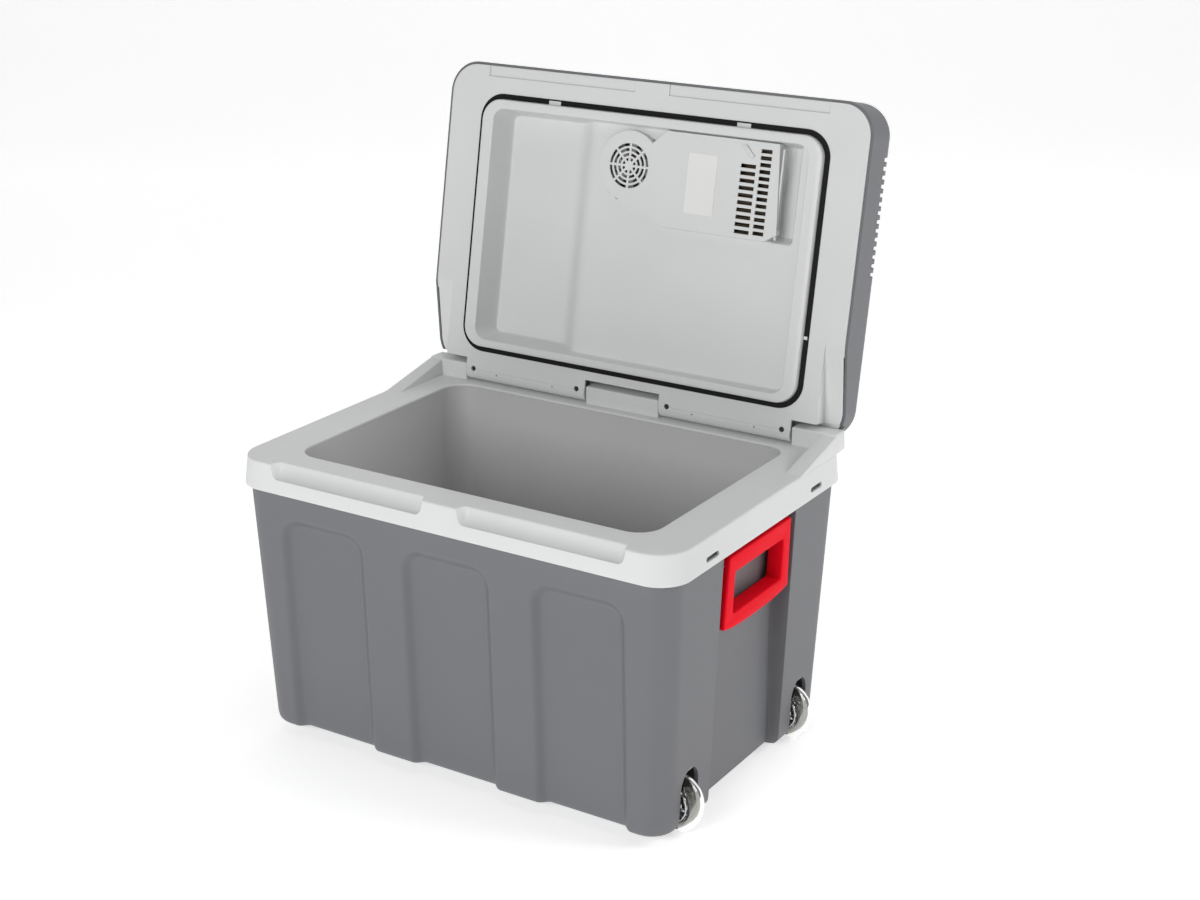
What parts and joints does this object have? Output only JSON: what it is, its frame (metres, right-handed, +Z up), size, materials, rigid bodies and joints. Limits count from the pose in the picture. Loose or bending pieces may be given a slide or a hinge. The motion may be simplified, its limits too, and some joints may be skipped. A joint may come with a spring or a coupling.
{
  "type": "wheeled cooler",
  "caption": "Wheeled electric cool box with an insulated tub, an open hinged lid that carries a fan cooling unit, folding side handles and wheels at one end.",
  "frame": {"origin": "on the floor, under the middle of the body", "axes": "+X towards the end with the wheels, +Y towards the hinge side at the back, +Z up; the lid is at rest in its open position"},
  "size_m": [0.6, 0.5199, 0.766],
  "materials": {
    "dark_plastic": "fine-grained dark grey moulding",
    "light_plastic": "satin light grey moulding",
    "tub_plastic": "smooth light grey moulding",
    "foam": "closed-cell foam",
    "seal_rubber": "soft black rubber",
    "handle_plastic": "satin red moulding",
    "tread": "smoky urethane",
    "hub_plastic": "bright plated plastic",
    "steel": "plain steel",
    "black_plastic": "black moulding",
    "sink_metal": "extruded aluminium",
    "ceramic": "white ceramic"
  },
  "bodies": {
    "body": {"outer_shell": "dark_plastic", "body_insulation": "foam", "inner_liner": "tub_plastic", "collar": "light_plastic", "hinge_pins_left": "steel", "hinge_pins_right": "steel", "wheel_housing_front": "black_plastic", "wheel_housing_back": "black_plastic", "axle_front": "steel", "axle_back": "steel", "foot_front": "seal_rubber", "foot_back": "seal_rubber", "handle_pins_left": "steel", "handle_pins_right": "steel"},
    "wheel_front": {"wheel_tyre_front": "tread", "wheel_hub_front": "hub_plastic", "wheel_bearings_front": "steel"},
    "wheel_back": {"wheel_tyre_back": "tread", "wheel_hub_back": "hub_plastic", "wheel_bearings_back": "steel"},
    "handle_left": {"handle_left": "handle_plastic"},
    "handle_right": {"handle_right": "handle_plastic"},
    "lid": {"lid_outer_shell": "dark_plastic", "lid_frame": "light_plastic", "lid_liner": "light_plastic", "lid_seal": "seal_rubber", "lid_insulation": "foam", "hinge_cover_left": "light_plastic", "hinge_cover_right": "light_plastic", "hinge_screws": "steel", "duct_cover": "light_plastic", "blank_plate": "light_plastic", "cold_sink": "sink_metal", "cold_bridge": "sink_metal", "peltier_module": "ceramic", "hot_sink": "sink_metal", "fan_motor": "black_plastic", "power_panel": "black_plastic", "mains_inlet": "black_plastic", "dc_inlet": "black_plastic"},
    "fan": {"fan_shaft": "steel", "inner_impeller": "black_plastic", "outer_impeller": "black_plastic"},
    "mode_switch": {"mode_switch": "light_plastic"}
  },
  "joints": [
    {"name": "lid_hinge", "type": "hinge", "parent": "body", "child": "lid", "pos_m": [0, 0.1883, 0.3757], "axis": [1, 0, 0], "range_deg": [0, 100.2]},
    {"name": "wheel_front_turn", "type": "hinge", "parent": "body", "child": "wheel_front", "pos_m": [0.262, -0.1338, 0.038], "axis": [0, 1, 0], "continuous": true},
    {"name": "wheel_back_turn", "type": "hinge", "parent": "body", "child": "wheel_back", "pos_m": [0.262, 0.1338, 0.038], "axis": [0, 1, 0], "continuous": true},
    {"name": "handle_left_pivot", "type": "hinge", "parent": "body", "child": "handle_left", "pos_m": [-0.2835, 0, 0.3055], "axis": [0, 1, 0], "range_deg": [0, 90]},
    {"name": "handle_right_pivot", "type": "hinge", "parent": "body", "child": "handle_right", "pos_m": [0.2835, 0, 0.3055], "axis": [0, -1, 0], "range_deg": [0, 90]},
    {"name": "fan_turn", "type": "hinge", "parent": "lid", "child": "fan", "pos_m": [-0.02, 0.25663, 0.65664], "axis": [0, 0.9842, -0.1771], "continuous": true},
    {"name": "mode_slide", "type": "slide", "parent": "lid", "child": "mode_switch", "axis": [1, 0, 0], "range_m": [-0.004, 0.004]}
  ]
}
